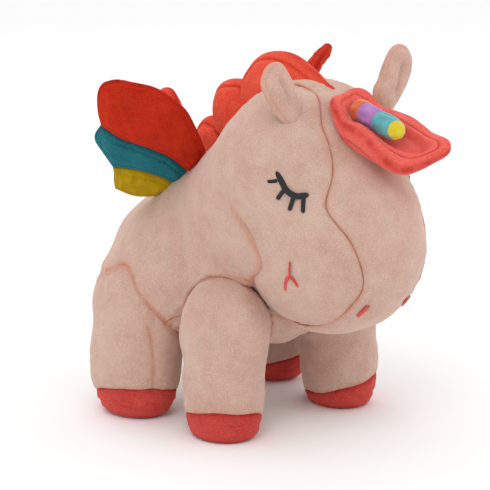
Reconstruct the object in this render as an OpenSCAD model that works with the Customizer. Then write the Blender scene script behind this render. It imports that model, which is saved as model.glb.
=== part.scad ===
// Plush unicorn, sewn from short-pile fabric panels over loose fibre fill.
// The frame: +Z up, the animal looks along -Y, its left side is +X.
// The origin is on the floor, at the middle of the whole toy's box.
// Most bodies are "stars": from an inner point, each direction reaches a smooth blend of ellipsoids.
// An ellipsoid is written [centre, radii].

/* [Fabric] */
// Thickness of the plush skin
skin_t = 1.6; // [1.2:0.1:2.4]
// Free space between two bodies that move
body_gap = 0.9; // [0.6:0.1:1.5]
// Satin-stitch thread height above the fabric
stitch_h = 0.7; // [0.4:0.1:1.2]

/* [Torso] */
// Half width of the belly
belly_w = 67; // [58:1:70]
// Half height of the belly
belly_h = 53; // [50:1:56]
// Half width of the shoulders
back_w = 46; // [42:1:50]

/* [Head] */
// Half width of the crown
crown_w = 64; // [58:1:68]
// Half height of the crown
crown_h = 58; // [54:1:62]
// Half width of the muzzle
muzzle_w = 52; // [46:1:56]
// Half width of the face strip between its two seams
face_w = 33; // [28:1:38]

/* [Legs] */
// Thickness of a front leg
front_leg_w = 48; // [44:1:50]
// Thickness of a rear leg
rear_leg_w = 50; // [46:1:52]
// Height of a hoof cap at its back
hoof_h = 13; // [11:1:20]
// Tilt of a hoof's seam, up towards the front and outside
hoof_tilt = 16; // [8:1:22]
// How far a leg swings each way
leg_swing = 8; // [4:1:10]

/* [Ears, horn and forelock] */
// Length of an ear
ear_l = 38; // [32:1:42]
// Width of an ear
ear_w = 26; // [22:1:28]
// Diameter of the horn at its root
horn_d = 13.5; // [12:0.5:16]
// Length of the horn
horn_l = 38; // [32:1:42]

/* [Wings] */
// Thickness of a padded wing
wing_t = 6; // [4:0.5:7]
// Half span of the wings, root to tip
wing_l = 94; // [80:1:98]

/* [Hidden] */

RIGHT = -1;
LEFT = 1;
BIG = 400;                // larger than the toy
BLEND = 9;                // sharpness of a blend of ellipsoids
SEAM = 0.15;              // each panel stops this far from its seam's plane
FILL_GAP = 0.3;           // between skin and filling
SINK = 0.5;               // between embroidery and skin
ROOM = 1.8;               // added all round a leg where the torso makes room for it

PEACH = [0.94, 0.80, 0.74];
CORAL = [0.90, 0.38, 0.36];
CREAM = [0.97, 0.96, 0.93];
ORANGE = [0.88, 0.26, 0.12];
TEAL = [0.10, 0.50, 0.56];
YELLOW = [0.82, 0.68, 0.05];
LILAC = [0.74, 0.52, 0.80];
AQUA = [0.40, 0.72, 0.74];
BLACK = [0.06, 0.06, 0.07];
RED = [0.80, 0.16, 0.14];

// Where each star is measured from, and the ellipsoids that it blends
torso_o = [0, 42, 108];
torso_balls = [
    [[0, 65, 92], [belly_w, 61.5, belly_h]],
    [[0, 12, 97], [50, 48, 50]],
    [[0, 46, 116], [back_w, 46, 52]],
    [[0, 14, 134], [54, 44, 42]]
];
head_o = [0, -34, 148];
head_balls = [
    [[0, -28, 162], [crown_w, 53, crown_h]],
    [[0, -47, 124], [muzzle_w, 62, 58]]
];

function front_hip(s) = [s * 48, -3, 64];
function front_balls(s) = [
    [front_hip(s), [front_leg_w / 2 + 1, 30, 30]],
    [[s * 51.5, -4, 28], [front_leg_w / 2, 27, 50]]
];
function rear_hip(s) = [s * 51, 74, 71];
function rear_balls(s) = [
    [rear_hip(s), [rear_leg_w / 2 + 3, 39.5, 38]],
    [[s * 59.5, 73, 31], [rear_leg_w / 2 + 0.5, 29, 52]]
];

// One ear: hinge on the crown, leaning outwards; the left one is sewn a little further out
function ear_base(s) = s == RIGHT ? [40, -49, 207.5] : [45, -49, 205.5];
ear_lean = 27;
ear_t = 12;

// The horn and the scooped forelock that holds it
horn_root = [0, -67, 205];
horn_dip = 16;
lock_o = [3, -89, 192];
lock_balls = [[[2, -84, 196], [27, 30, 14]], [[7, -101, 186], [21, 32, 13]]];
lock_dip = 29;
lock_hinge = [0, -57, 217];

mane_w = 13;              // half thickness of the mane
crown_lobe = [[0, 2, 206], [mane_w, 34, 28]];
neck_lobe = [[0, 40, 192], [mane_w, 19, 20]];
wither_lobe = [[0, 58, 176], [mane_w, 13, 12]];

tail_root = [0, 105, 133];
tail_hub_r = 9;
tail_o = [0, 112, 160];
tail_balls = [[[0, 114, 155], [10, 12, 22]], [[0, 110, 176], [12, 13, 26]]];

// Wing root on the right flank, and the wing tip; the left wing is its mirror image
wing_front = [-25, 37, 168];
wing_rear = [-33, 64, 146];
wing_tip = [-104, 39, 223];
wing_groove_r = 5;
left_raise = 4;           // the left wing stands this many degrees higher

function add(v, i = 0) = i < len(v) ? v[i] + add(v, i + 1) : 0;
function unit(v) = v / norm(v);
function over(a, b) = [a.x / b.x, a.y / b.y, a.z / b.z];

// Distance from o along the unit direction d to the far wall of one ellipsoid
function reach(o, d, ball) =
    let (q = over(o - ball[0], ball[1]), w = over(d, ball[1]))
    let (aa = w * w, bb = w * q, cc = q * q - 1)
    (-bb + sqrt(max(bb * bb - aa * cc, 0))) / aa;

// The blend is the power mean sum: the longest reach wins, and near ties swell a little
function star_reach(o, d, balls) = pow(add([for (b = balls) pow(reach(o, d, b), BLEND)]), 1 / BLEND);

// A direction by its angle from +X and its turn about X
function ray(u, v) = [cos(u), sin(u) * cos(v), sin(u) * sin(v)];

// Closed star surface with n bands between its poles on X and m steps around, moved in by inset
module star(o, balls, inset = 0, n = 16, m = 24) {
    dirs = concat([ray(0, 0)], [for (i = [1:n - 1], j = [0:m - 1]) ray(180 * i / n, 360 * j / m)], [ray(180, 0)]);
    pts = [for (d = dirs) o + d * (star_reach(o, d, balls) - inset)];
    last = len(pts) - 1;
    caps = [for (j = [0:m - 1]) let (k = (j + 1) % m) each [[0, 1 + k, 1 + j], [last, last - m + j, last - m + k]]];
    walls = [
        for (i = [0:n - 3], j = [0:m - 1])
        let (a = 1 + i * m + j, b = 1 + i * m + (j + 1) % m)
        each [[a, b, b + m], [a, b + m, a + m]]
    ];
    polyhedron(pts, concat(caps, walls));
}

// Everything below z, and everything on one side of the middle plane beyond x
module below(z) translate([-BIG / 2, -BIG / 2, z - BIG]) cube(BIG);
module beyond(s, x) translate([s > 0 ? x : -x - BIG, -BIG / 2, -BIG / 2]) cube(BIG);

// Turn about an axis that runs along X through a point
module turned(angle, pivot) translate(pivot) rotate([angle, 0, 0]) translate(-pivot) children();

module leg_star(front, s, inset) {
    if (front) star(front_hip(s), front_balls(s), inset, 14, 20);
    else star(rear_hip(s), rear_balls(s), inset, 14, 20);
}

// Room that the torso leaves for a swinging leg: the leg's own star, thicker and longer fore and aft
module leg_room(front, s) {
    hip = front ? front_hip(s) : rear_hip(s);
    balls = front ? front_balls(s) : rear_balls(s);
    swing_room = hip.z * sin(leg_swing);
    star(hip, [
        [balls[0][0], balls[0][1] + ROOM * [1, 1, 1]],
        [balls[1][0], balls[1][1] + ROOM * [1, 1, 1] + [0, swing_room, 0]]
    ], 0, 10, 16);
}

// Room for the nodding head, and for the part of the mane that nods with it
module head_room() star(head_o + [0, 2, 0], [
    [head_balls[0][0] + [0, 3, 0], head_balls[0][1] + [2, 5, 3]],
    [head_balls[1][0] + [0, 3, -3], head_balls[1][1] + [2, 4, 4]]
], 0, 12, 20);

module neck_lobe_room() star(neck_lobe[0], [[neck_lobe[0] + [0, 2, -1], neck_lobe[1] + [2, 4, 4]]], 0, 8, 14);

// Wing frame: columns are the root line, the way out, and the normal
wing_u = unit(wing_rear - wing_front);
wing_n = unit(cross(wing_rear - wing_front, wing_tip - wing_front));
wing_v = cross(wing_n, wing_u);
root_l = norm(wing_rear - wing_front);

module in_wing(s) mirror([s > 0 ? 1 : 0, 0, 0]) multmatrix([
    [wing_u.x, wing_v.x, wing_n.x, wing_front.x],
    [wing_u.y, wing_v.y, wing_n.y, wing_front.y],
    [wing_u.z, wing_v.z, wing_n.z, wing_front.z],
    [0, 0, 0, 1]
]) rotate([s == LEFT ? left_raise : 0, 0, 0]) children();

module wing_groove(s) in_wing(s) translate([-6, 0, 0]) rotate([0, 90, 0])
    cylinder(r = wing_groove_r, h = root_l + 12, $fn = 16);

module tail_room() {
    translate(tail_root) sphere(r = tail_hub_r + body_gap, $fn = 24);
    star(tail_o, [[tail_balls[0][0], tail_balls[0][1] + [2, 5, 3]]], 0, 8, 14);
}

// All that the moving bodies need cut out of the torso
module torso_cuts() {
    head_room();
    neck_lobe_room();
    tail_room();
    star(wither_lobe[0], [wither_lobe], -SEAM, 12, 18);
    for (s = [RIGHT, LEFT]) {
        leg_room(true, s);
        leg_room(false, s);
        wing_groove(s);
    }
}

belly_z = 80;             // height of the belly panel's seam above the origin
belly_slope = 15;         // and how steeply it falls towards the tail

module torso_shell() difference() {
    star(torso_o, torso_balls, 0, 16, 24);
    star(torso_o, torso_balls, skin_t, 16, 24);
    torso_cuts();
}

module as_mesh() resize([0, 0, 0]) children();

// Everything under the belly panel's seam, moved up by lift
module belly_space(lift) translate([0, 0, belly_z + lift]) rotate([-belly_slope, 0, 0]) below(0);

module torso_skin(s) color(PEACH) as_mesh() difference() {
    intersection() {
        torso_shell();
        beyond(s, SEAM);
    }
    belly_space(SEAM);
}

module belly_panel() color(PEACH) as_mesh() intersection() {
    torso_shell();
    belly_space(-SEAM);
}

module torso_filling() color(CREAM) as_mesh() difference() {
    star(torso_o, torso_balls, skin_t + FILL_GAP, 16, 24);
    torso_cuts();
}

module head_shell() difference() {
    star(head_o, head_balls, 0, 18, 28);
    star(head_o, head_balls, skin_t, 18, 28);
}

module cheek(s) color(PEACH) as_mesh() intersection() {
    head_shell();
    beyond(s, face_w + SEAM);
}

module face_strip() color(PEACH) as_mesh() difference() {
    head_shell();
    beyond(RIGHT, face_w - SEAM);
    beyond(LEFT, face_w - SEAM);
}

module head_filling() color(CREAM) as_mesh() star(head_o, head_balls, skin_t + FILL_GAP, 18, 28);

// The wedge of space under a hoof's seam: a tilted plane, high in front and outside
module hoof_space(front, s) {
    foot = front ? [s * 51, -5, 0] : [s * 59, 72, 0];
    translate(foot + [0, 0, hoof_h]) rotate([hoof_tilt * 0.7, -s * hoof_tilt * 0.7, 0]) below(0);
}

module leg_skin(front, s) color(PEACH) as_mesh() difference() {
    leg_star(front, s, 0);
    leg_star(front, s, skin_t);
    translate([0, 0, SEAM]) hoof_space(front, s);
}

module leg_filling(front, s) color(CREAM) as_mesh() difference() {
    leg_star(front, s, skin_t + FILL_GAP);
    below(skin_t + FILL_GAP);
}

module hoof(front, s) color(CORAL) as_mesh() difference() {
    intersection() {
        leg_star(front, s, 0);
        translate([0, 0, -SEAM]) hoof_space(front, s);
    }
    difference() {
        leg_star(front, s, skin_t);
        below(skin_t);
    }
    below(0);
}

module ear(s) color(PEACH) mirror([s > 0 ? 0 : 1, 0, 0])
    translate(ear_base(s)) rotate([0, ear_lean, 0]) translate([0, 0, ear_l / 2 + 1])
        star([0, 0, 0], [[[0, 0, 0], [ear_w / 2, ear_t / 2, ear_l / 2]], [[0, 0, -3], [ear_w / 2 - 2, ear_t / 2, ear_l / 2 - 6]]],
            0.6, 10, 16);

module horn_frame() translate(horn_root) rotate([90 + horn_dip, 0, 0]) children();

// One ring of the horn from z0 to z1 along its axis, as a slightly bulged band
module horn_band(z0, z1) horn_frame() rotate_extrude($fn = 36) polygon(concat(
    [[0, z0], for (k = [0:4]) let (z = z0 + (z1 - z0) * k / 4) [horn_r(z) + 0.5 * sin(45 * k), z], [0, z1]]
));
function horn_r(z) = horn_d / 2 * (1 - 0.22 * pow(z / horn_l, 2));

module horn_root_band() color(ORANGE) as_mesh() difference() {
    horn_band(0, horn_l * 0.22);
    star(head_o, head_balls, -body_gap, 18, 28);
}
module horn_middle_band() color(LILAC) horn_band(horn_l * 0.22 + SEAM, horn_l * 0.55);
module horn_front_band() color(AQUA) horn_band(horn_l * 0.55 + SEAM, horn_l * 0.86);
module horn_tip() color(YELLOW) horn_frame() translate([0, 0, horn_l * 0.86 + SEAM]) intersection() {
    sphere(r = horn_r(horn_l * 0.86), $fn = 36);
    cylinder(r = horn_d, h = horn_l * 0.14);
}

module forelock() color(CORAL) as_mesh() difference() {
    turned(lock_dip, lock_o) star(lock_o, lock_balls, 0, 14, 22);
    horn_frame() translate([0, 0, -3]) cylinder(r = horn_d / 2 + 1.2, h = horn_l + 6, $fn = 20);
    horn_frame() translate([-horn_d / 2 - 1, 0, -3]) cube([horn_d + 2, 40, horn_l + 6]);
    star(head_o, head_balls, -body_gap, 18, 28);
}

module mane_lobe(ball, n, m) as_mesh() difference() {
    star(ball[0], [ball], 0, n, m);
    children();
}

module mane_crown_lobe() color(CORAL) mane_lobe(crown_lobe, 12, 22) star(head_o, head_balls, -SEAM, 18, 28);
module mane_neck_lobe() color(CORAL) mane_lobe(neck_lobe, 12, 18) {
    star(head_o, head_balls, -SEAM, 18, 28);
    star(crown_lobe[0], [crown_lobe], -SEAM, 12, 22);
}
module mane_wither_lobe() color(CORAL) mane_lobe(wither_lobe, 12, 18) {
    head_room();
    neck_lobe_room();
}

module tail() color(CORAL) as_mesh() union() {
    translate(tail_root) sphere(r = tail_hub_r, $fn = 24);
    star(tail_o, tail_balls, 0, 12, 18);
}

// The wing's outline in its own plane: leading edge, scalloped tip and lower edge
tip_k = wing_l / 94;
seam_1 = [[20, 71], [20, 54], [18, 36], [16, 20], [19, 1]];
seam_2 = [[44, 42], [37, 27], [34, 16], [33, 1]];
lead = [[0, 1], [-14, 24], [-20, 37], [-25, 56], [-24, 72], [-20, 88], [-14, 94], [-4, 93], [6, 85]];
function back_to_front(v) = [for (i = [len(v) - 1:-1:0]) v[i]];
upper_panel = concat(lead, seam_1);
middle_panel = concat([[31, 66], [38, 54]], seam_2, back_to_front(seam_1));
lower_panel = concat([[50, 37], [59, 28], [60, 19], [51, 6], [36, 1]], back_to_front(seam_2));

module wing_panel(s, outline) in_wing(s) linear_extrude(height = wing_t, center = true)
    offset(delta = -SEAM) polygon([for (p = outline) [p.x, 2 + p.y * tip_k]]);

module wing_right_upper_panel() color(ORANGE) wing_panel(RIGHT, upper_panel);
module wing_right_middle_panel() color(TEAL) wing_panel(RIGHT, middle_panel);
module wing_right_lower_panel() color(YELLOW) wing_panel(RIGHT, lower_panel);
module wing_left_upper_panel() color(ORANGE) wing_panel(LEFT, upper_panel);
module wing_left_middle_panel() color(TEAL) wing_panel(LEFT, middle_panel);
module wing_left_lower_panel() color(YELLOW) wing_panel(LEFT, lower_panel);

// A point on the head, by its turn from the nose towards one cheek and its height angle
function on_head(s, a, lift) =
    let (d = [s * sin(a.x) * cos(a.y), -cos(a.x) * cos(a.y), sin(a.y)])
    head_o + d * (star_reach(head_o, d, head_balls) + lift);

// Threads laid side by side over the skin: a flat ribbon along a list of angle pairs
module satin_line(s, path, w) {
    rows = [for (i = [0:len(path) - 1])
        let (before = path[max(i - 1, 0)], after = path[min(i + 1, len(path) - 1)])
        let (a = on_head(s, before, 0), b = on_head(s, after, 0), p = on_head(s, path[i], 0))
        let (out = unit(p - head_o), side = unit(cross(b - a, out)) * w / 2)
        [for (c = [[-1, SINK], [1, SINK], [0.6, SINK + stitch_h], [-0.6, SINK + stitch_h]]) p + side * c.x + out * c.y]
    ];
    n = len(rows);
    pts = [for (r = rows) each r];
    walls = [for (i = [0:n - 2], j = [0:3]) let (a = 4 * i + j, b = 4 * i + (j + 1) % 4)
        each [[a, b + 4, b], [a, a + 4, b + 4]]];
    polyhedron(pts, concat([[0, 1, 2], [0, 2, 3], [4 * n - 4, 4 * n - 2, 4 * n - 3], [4 * n - 4, 4 * n - 1, 4 * n - 2]], walls));
}

lid = [for (k = [0:8]) [69 - 19 * k / 8, 23 - 11 * k / 8 - 5 * sin(180 * k / 8)]];
lashes = [[[69, 18], [74, 17.5]], [[65, 12], [68, 8.5]], [[58.5, 9], [61, 2.5]], [[53, 9], [53, 1.5]]];

module eye(s) color(BLACK) {
    satin_line(s, lid, 3);
    for (l = lashes) satin_line(s, l, 2);
}

module mouth(s) color(RED) {
    satin_line(s, [[60.5, -26], [61, -30], [61.5, -33]], 1);
    satin_line(s, [[63, -34.5], [64.5, -38], [65, -42]], 1.4);
    satin_line(s, [[60, -34.5], [58, -36], [56.5, -37.5]], 1.4);
}

module nostril(s) color(RED) satin_line(s, [[19.5, -46.5], [17.5, -43.5], [15.5, -40.5]], 3);

module torso_skin_right() torso_skin(RIGHT);
module torso_skin_left() torso_skin(LEFT);
module cheek_right() cheek(RIGHT);
module cheek_left() cheek(LEFT);
module front_leg_skin_right() leg_skin(true, RIGHT);
module front_leg_skin_left() leg_skin(true, LEFT);
module rear_leg_skin_right() leg_skin(false, RIGHT);
module rear_leg_skin_left() leg_skin(false, LEFT);
module front_leg_filling_right() leg_filling(true, RIGHT);
module front_leg_filling_left() leg_filling(true, LEFT);
module rear_leg_filling_right() leg_filling(false, RIGHT);
module rear_leg_filling_left() leg_filling(false, LEFT);
module front_hoof_right() hoof(true, RIGHT);
module front_hoof_left() hoof(true, LEFT);
module rear_hoof_right() hoof(false, RIGHT);
module rear_hoof_left() hoof(false, LEFT);
module ear_right() ear(RIGHT);
module ear_left() ear(LEFT);
module eye_right() eye(RIGHT);
module eye_left() eye(LEFT);
module mouth_right() mouth(RIGHT);
module mouth_left() mouth(LEFT);
module nostril_right() nostril(RIGHT);
module nostril_left() nostril(LEFT);

torso_skin_right();
torso_skin_left();
belly_panel();
torso_filling();
cheek_right();
cheek_left();
face_strip();
head_filling();
front_leg_skin_right();
front_leg_skin_left();
rear_leg_skin_right();
rear_leg_skin_left();
front_leg_filling_right();
front_leg_filling_left();
rear_leg_filling_right();
rear_leg_filling_left();
front_hoof_right();
front_hoof_left();
rear_hoof_right();
rear_hoof_left();
ear_right();
ear_left();
forelock();
horn_root_band();
horn_middle_band();
horn_front_band();
horn_tip();
mane_crown_lobe();
mane_neck_lobe();
mane_wither_lobe();
tail();
wing_right_upper_panel();
wing_right_middle_panel();
wing_right_lower_panel();
wing_left_upper_panel();
wing_left_middle_panel();
wing_left_lower_panel();
eye_right();
eye_left();
mouth_right();
mouth_left();
nostril_right();
nostril_left();
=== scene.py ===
# %% [markdown]
# # A plush winged unicorn
# A soft toy is fabric panels sewn edge to edge and stuffed until they go round. So nearly every
# piece here is worked out the same way as the real one: a smooth filled body, cut into panels
# along its seams, with the cloth pulled in wherever a seam runs.
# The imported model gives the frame: where each body is, how big it is and what it turns about.

import bmesh
import bpy
import numpy as np
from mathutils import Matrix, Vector


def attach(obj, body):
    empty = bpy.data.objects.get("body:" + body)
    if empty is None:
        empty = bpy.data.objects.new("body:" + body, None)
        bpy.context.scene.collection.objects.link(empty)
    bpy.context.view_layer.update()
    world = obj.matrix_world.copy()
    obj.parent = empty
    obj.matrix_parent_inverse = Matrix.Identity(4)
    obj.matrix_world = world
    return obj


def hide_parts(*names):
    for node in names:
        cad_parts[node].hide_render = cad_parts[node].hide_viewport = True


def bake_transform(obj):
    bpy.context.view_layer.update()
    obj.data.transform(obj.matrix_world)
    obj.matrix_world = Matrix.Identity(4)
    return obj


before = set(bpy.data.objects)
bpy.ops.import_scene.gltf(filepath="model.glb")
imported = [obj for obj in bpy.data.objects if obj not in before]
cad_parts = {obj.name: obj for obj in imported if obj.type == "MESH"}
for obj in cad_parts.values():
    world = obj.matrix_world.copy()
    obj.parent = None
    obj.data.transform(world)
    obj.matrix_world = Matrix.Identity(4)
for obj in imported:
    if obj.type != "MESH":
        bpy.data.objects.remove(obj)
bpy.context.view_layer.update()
MM = 0.001
RIGHT, LEFT = -1, 1
SIDES = {"right": RIGHT, "left": LEFT}

# %% [markdown]
# ## Stars: the filled bodies
# A stuffed body is roughly a few ellipsoids run together. From a point inside, each direction
# meets the far wall of each ellipsoid at some reach, and the blend takes nearly the longest. That
# makes a smooth closed surface with one radius for each direction, so a seam, a dimple or a lump
# is just a little added to that radius.

# %% Star surfaces
BLEND = 9


def unit(v):
    """Each vector divided by its length."""
    return v / np.linalg.norm(v, axis=-1, keepdims=True)


def lerp(a, b, t):
    """A share t of the way from a to b."""
    return a + (b - a) * t


def smooth(x, lo, hi):
    """0 below lo, 1 above hi, and an S curve 3t^2 - 2t^3 between them."""
    t = np.clip((x - lo) / (hi - lo), 0, 1)
    return t * t * (3 - 2 * t)


def hump(x, centre, width):
    """A bell, exp(-((x - centre) / width)^2)."""
    return np.exp(-(((x - centre) / width) ** 2))


class Star:
    """A blend of ellipsoids seen from a point inside: radius = (sum of reach^9)^(1/9)."""

    def __init__(self, origin, balls, floor=None):
        self.o = np.array(origin, float) * MM
        self.balls = [(np.array(c, float) * MM, np.array(r, float) * MM) for c, r in balls]
        self.floor = floor

    def radius(self, d):
        """Blended reach along unit directions d; a floor caps it softly where d points down."""
        total = 0
        for centre, radii in self.balls:
            q, w = (self.o - centre) / radii, d / radii
            a, b, c = (w * w).sum(-1), (w * q).sum(-1), (q * q).sum() - 1
            total = total + ((-b + np.sqrt(np.maximum(b * b - a * c, 0))) / a) ** BLEND
        r = total ** (1 / BLEND)
        if self.floor is None:
            return r
        down = np.minimum(d[..., 2], -1e-6)
        drop = np.where(d[..., 2] < -1e-6, (self.floor - self.o[2]) / down, 1e3)
        return (r**-40 + drop**-40) ** (-1 / 40)

    def at(self, d, lift=0.0):
        """Surface points along directions d, moved out by lift."""
        return self.o + d * (self.radius(d) + lift)[..., None]

    def outside(self, p):
        """How far points p are outside the surface, along their own ray; negative inside."""
        q = p - self.o
        length = np.linalg.norm(q, axis=-1)
        return length - self.radius(q / np.maximum(length, 1e-9)[..., None])


TORSO = Star([0, 42, 108], [([0, 65, 92], [67, 61.5, 53]), ([0, 12, 97], [50, 48, 50]),
                            ([0, 46, 116], [46, 46, 52]), ([0, 14, 134], [54, 44, 42])])
HEAD = Star([0, -34, 148], [([0, -28, 162], [64, 53, 58]), ([0, -47, 124], [52, 62, 58])])


def leg_star(front, s):
    """A leg: a ball at the hip run into a long shank, flat on the floor."""
    if front:
        hip, hip_r, shank, shank_r = [48, -3, 64], [25, 31, 34], [51, -5, 28], [24, 27, 45]
    else:
        hip, hip_r, shank, shank_r = [51, 75, 67], [26, 38, 37], [60, 70, 35], [27, 33, 47]
    side = np.array([s, 1, 1])
    return Star(side * hip, [(side * hip, hip_r), (side * shank, shank_r)], floor=0.0)


LEGS = {(f, s): leg_star(f, s) for f in (True, False) for s in (RIGHT, LEFT)}
for name, star in (("torso", TORSO), ("head", HEAD)):
    print(name, "reaches", star.radius(unit(np.array([[1.0, 0, 0], [0, -1, 0], [0, 0, 1]]))).round(4))

# %% [markdown]
# ## Lumps and meshes
# Fibre fill is never even, so every stuffed surface gets a slow, low swell. It is a sum of plane
# waves in random directions, which needs no texture and gives the same result on every run.
# A grid of points becomes a mesh in one step: the rows and columns are numbered, and each cell is
# one face.

# %% Unevenness and mesh building


def lumps(p, size, seed, waves=14):
    """Sum of sine waves with random directions and phases, wavelengths near size, about -1 to 1."""
    rng = np.random.default_rng(seed)
    k = unit(rng.normal(size=(waves, 3))) * (2 * np.pi / (size * rng.uniform(0.7, 1.5, waves)))[:, None]
    return np.sin(p @ k.T + rng.uniform(0, 2 * np.pi, waves)).sum(-1) / np.sqrt(waves / 2) / 1.6


def link(mesh, name):
    """Puts a mesh into the scene under a name."""
    piece = bpy.data.objects.new(name, mesh)
    bpy.context.scene.collection.objects.link(piece)
    return piece


def grid_faces(n, m, wrap_rows=False, wrap_cols=False):
    """Cells of an n by m grid as quads (i,j) (i+1,j) (i+1,j+1) (i,j+1)."""
    i, j = np.meshgrid(np.arange(n - (not wrap_rows)), np.arange(m - (not wrap_cols)), indexing="ij")
    i, j = i.ravel(), j.ravel()
    i2, j2 = (i + 1) % n, (j + 1) % m
    return np.stack([i * m + j, i2 * m + j, i2 * m + j2, i * m + j2], 1)


def build(name, points, faces, keep=None, seam=None, flip=False):
    """A mesh from points and quads, without the faces whose mask is off, doubles merged.
    A seam value for each point, 1 on a seam and 0 away from it, is kept for the material, which paints shade
    along seams with it."""
    p = points.reshape(-1, 3)
    if keep is not None:
        faces = faces[keep.reshape(-1)[faces].all(1)]
    if flip:
        faces = faces[:, ::-1]
    used, index = np.unique(faces, return_inverse=True)
    mesh = bpy.data.meshes.new(name)
    faces = index.reshape(faces.shape)
    mesh.from_pydata(p[used].tolist(), [], faces.tolist())
    if seam is not None:
        layer = mesh.attributes.new("seam", "FLOAT", "POINT")
        layer.data.foreach_set("value", np.ascontiguousarray(seam.reshape(-1)[used], np.float32))
    bm = bmesh.new()
    bm.from_mesh(mesh)
    bmesh.ops.remove_doubles(bm, verts=bm.verts, dist=2e-6)
    bmesh.ops.dissolve_degenerate(bm, edges=bm.edges, dist=1e-6)
    bm.to_mesh(mesh)
    bm.free()
    mesh.polygons.foreach_set("use_smooth", [True] * len(mesh.polygons))
    return link(mesh, name)


def thicken(piece, t):
    """Gives a panel the thickness of its cloth, inwards from the face side."""
    solid = piece.modifiers.new("Cloth thickness", "SOLIDIFY")
    solid.thickness, solid.offset = t, -1
    return piece


# %% [markdown]
# ## Finishes
# Short-pile plush looks matt and a little cloudy: the pile lies one way here and another way there,
# so patches of it are lighter or darker, and its tips catch the light at the edges. The cloudiness is
# slow noise, the pile is fine noise that also bumps the surface, and the pale edge is sheen, which is
# set on the shader's own socket.

# %% A small language for shader maths


class Wire:
    """One shader socket, so that Python's + - * / on it add Math nodes."""

    def __init__(self, tree, socket):
        self.tree, self.socket = tree, socket

    def _math(self, operation, a, b):
        node = self.tree.nodes.new("ShaderNodeMath")
        node.operation = operation
        for socket, value in zip(node.inputs, (a, b)):
            self.put(socket, value)
        return Wire(self.tree, node.outputs[0])

    def put(self, socket, value):
        """Links a wire to a socket, or sets a plain value on it."""
        if isinstance(value, Wire):
            self.tree.links.new(value.socket, socket)
        else:
            socket.default_value = value

    def __add__(self, b): return self._math("ADD", self, b)
    def __radd__(self, b): return self._math("ADD", b, self)
    def __sub__(self, b): return self._math("SUBTRACT", self, b)
    def __rsub__(self, b): return self._math("SUBTRACT", b, self)
    def __mul__(self, b): return self._math("MULTIPLY", self, b)
    def __rmul__(self, b): return self._math("MULTIPLY", b, self)
    def __truediv__(self, b): return self._math("DIVIDE", self, b)
    def __pow__(self, b): return self._math("POWER", self, b)


class Finish:
    """A new material with its node tree and shader at hand."""

    def __init__(self, name):
        self.material = bpy.data.materials.new(name)
        self.material.use_nodes = True
        self.tree = self.material.node_tree
        self.shader = self.tree.nodes["Principled BSDF"]

    def node(self, kind, settings=None, out=0, **inputs):
        """Adds a node: its settings first, then its sockets, and returns one output as a wire."""
        node = self.tree.nodes.new(kind)
        for key, value in (settings or {}).items():
            setattr(node, key, value)
        for key, value in inputs.items():
            socket = node.inputs[int(key[1:])] if key[0] == "i" and key[1:].isdigit() else node.inputs[key]
            Wire(self.tree, None).put(socket, value)
        return Wire(self.tree, node.outputs[out])

    def where(self, source="Object"):
        """The piece's own coordinates."""
        node = self.tree.nodes.new("ShaderNodeTexCoord")
        return Wire(self.tree, node.outputs[source])

    def noise(self, size, detail=2.0, rough=0.5, vector=None, out=0):
        """Noise with features near a size in metres."""
        return self.node("ShaderNodeTexNoise", None, out, Vector=vector or self.where(), Scale=1 / size,
                         Detail=detail, Roughness=rough)

    def mix(self, share, a, b):
        """A colour between a and b."""
        return self.node("ShaderNodeMix", {"data_type": "RGBA"}, 2, i0=share, i6=a, i7=b)

    def ramp(self, value, lo, hi):
        """Stretches a value from lo..hi to 0..1, held at both ends."""
        span = {"From Min": lo, "From Max": hi}
        return self.node("ShaderNodeMapRange", {"clamp": True}, 0, Value=value, **span)

    def out(self, **sockets):
        """Feeds the shader; underscores stand for spaces."""
        for key, value in sockets.items():
            Wire(self.tree, None).put(self.shader.inputs[key.replace("_", " ")], value)
        return self.material

    def bump(self, height, depth, strength=1.0):
        """A normal from a height wire, depth in metres."""
        return self.node("ShaderNodeBump", None, 0, Height=height, Distance=depth, Strength=strength)


def rgb(r, g, b):
    """Colour from 0-255 screen values: c = (v / 255) ^ 2.2."""
    return tuple((v / 255) ** 2.2 for v in (r, g, b)) + (1,)


# %% Plush, thread, print and fill


def plush(name, light, dark, tips, deep, pile=0.0006, sheen=0.5, cloud=0.02):
    """Short-pile plush: cloudy nap between two tones, pale pile tips, fine bump and sheen.
    Down in a seam a deeper colour is painted in as shade, the warm shade of light that has passed through the
    pile."""
    f = Finish(name)
    nap = f.noise(cloud, 3, 0.55)
    brushed = f.noise(cloud * 0.35, 2, 0.5)
    fibre = f.noise(pile, 3, 0.7)
    tone = f.ramp(nap * 0.65 + brushed * 0.35, 0.35, 0.66)
    colour = f.mix(tone, dark, light)
    colour = f.mix(f.ramp(fibre, 0.5, 0.75) * 0.75, colour, tips)
    colour = f.mix(f.ramp(1.0 - fibre, 0.52, 0.75) * 0.35, colour, deep)
    # Painted shade: the seam value from each mesh mixes the deep colour in along the seams.
    wear_and_seam_shade = f.node("ShaderNodeAttribute", {"attribute_name": "seam"}, 2)
    colour = f.mix(wear_and_seam_shade * f.ramp(brushed, 0.2, 0.6), colour, deep)
    normal = f.bump(fibre * 0.7 + brushed * 0.6, pile * 0.55, 0.55)
    f.shader.inputs["Sheen Weight"].default_value = sheen
    f.shader.inputs["Sheen Roughness"].default_value = 0.42
    f.shader.inputs["Sheen Tint"].default_value = tips
    f.shader.inputs["Specular IOR Level"].default_value = 0.15
    f.shader.inputs["Subsurface Weight"].default_value = 0.25
    f.shader.inputs["Subsurface Radius"].default_value = (1.0, 0.42, 0.28)
    f.shader.inputs["Subsurface Scale"].default_value = 0.008
    return f.out(Base_Color=colour, Roughness=0.92, Normal=normal)
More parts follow.
